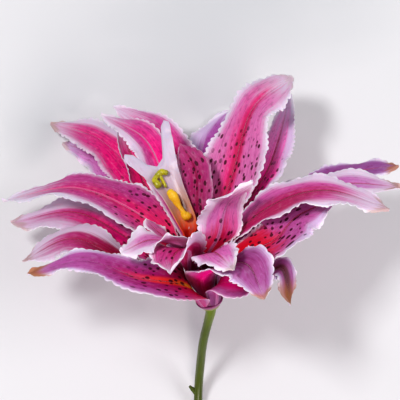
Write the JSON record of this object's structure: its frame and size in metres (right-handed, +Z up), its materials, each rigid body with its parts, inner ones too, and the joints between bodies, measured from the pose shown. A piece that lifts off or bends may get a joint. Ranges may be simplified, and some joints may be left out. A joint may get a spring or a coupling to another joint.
{
  "type": "double oriental lily",
  "caption": "Cut double oriental lily lying on its side, with ruffled pink and white spotted tepals, a forked pale pistil and a green stalk.",
  "frame": {"origin": "middle of the bounding box, at the height of the surface that the flower lies on", "axes": "+Y from the cut end of the stalk towards the mouth of the bloom, +Z up"},
  "size_m": [0.2, 0.224, 0.124],
  "materials": {
    "tepal": "satin petal, pink with a white margin and crimson spots",
    "pistil": "waxy, white to pink with an orange base",
    "stigma": "moist, olive",
    "anther": "waxy, yellow",
    "receptacle": "satin, pale green",
    "stalk": "satin, yellow-green"
  },
  "bodies": {
    "root": {"fourth_tepal_front_left": "tepal", "third_tepal_front": "tepal", "third_tepal_front_right": "tepal", "fourth_tepal_right": "tepal", "second_tepal_front_right": "tepal", "outer_tepal_front_right": "tepal", "second_tepal_right": "tepal", "third_tepal_right": "tepal", "outer_tepal_front_left": "tepal", "second_tepal_left": "tepal", "heart_tepal_left": "tepal", "third_tepal_left": "tepal", "heart_tepal_back": "tepal", "fourth_tepal_back_left": "tepal", "third_tepal_back_right": "tepal", "second_tepal_back_inner": "tepal", "third_tepal_back": "tepal", "second_tepal_back_right": "tepal", "second_tepal_back_left": "tepal", "second_tepal_right_high": "tepal", "outer_tepal_right": "tepal", "outer_tepal_left": "tepal", "outer_tepal_back": "tepal", "outer_tepal_back_left": "tepal", "pistil": "pistil", "stigma": "stigma", "anther": "anther", "receptacle": "receptacle", "stalk": "stalk"}
  },
  "joints": []
}
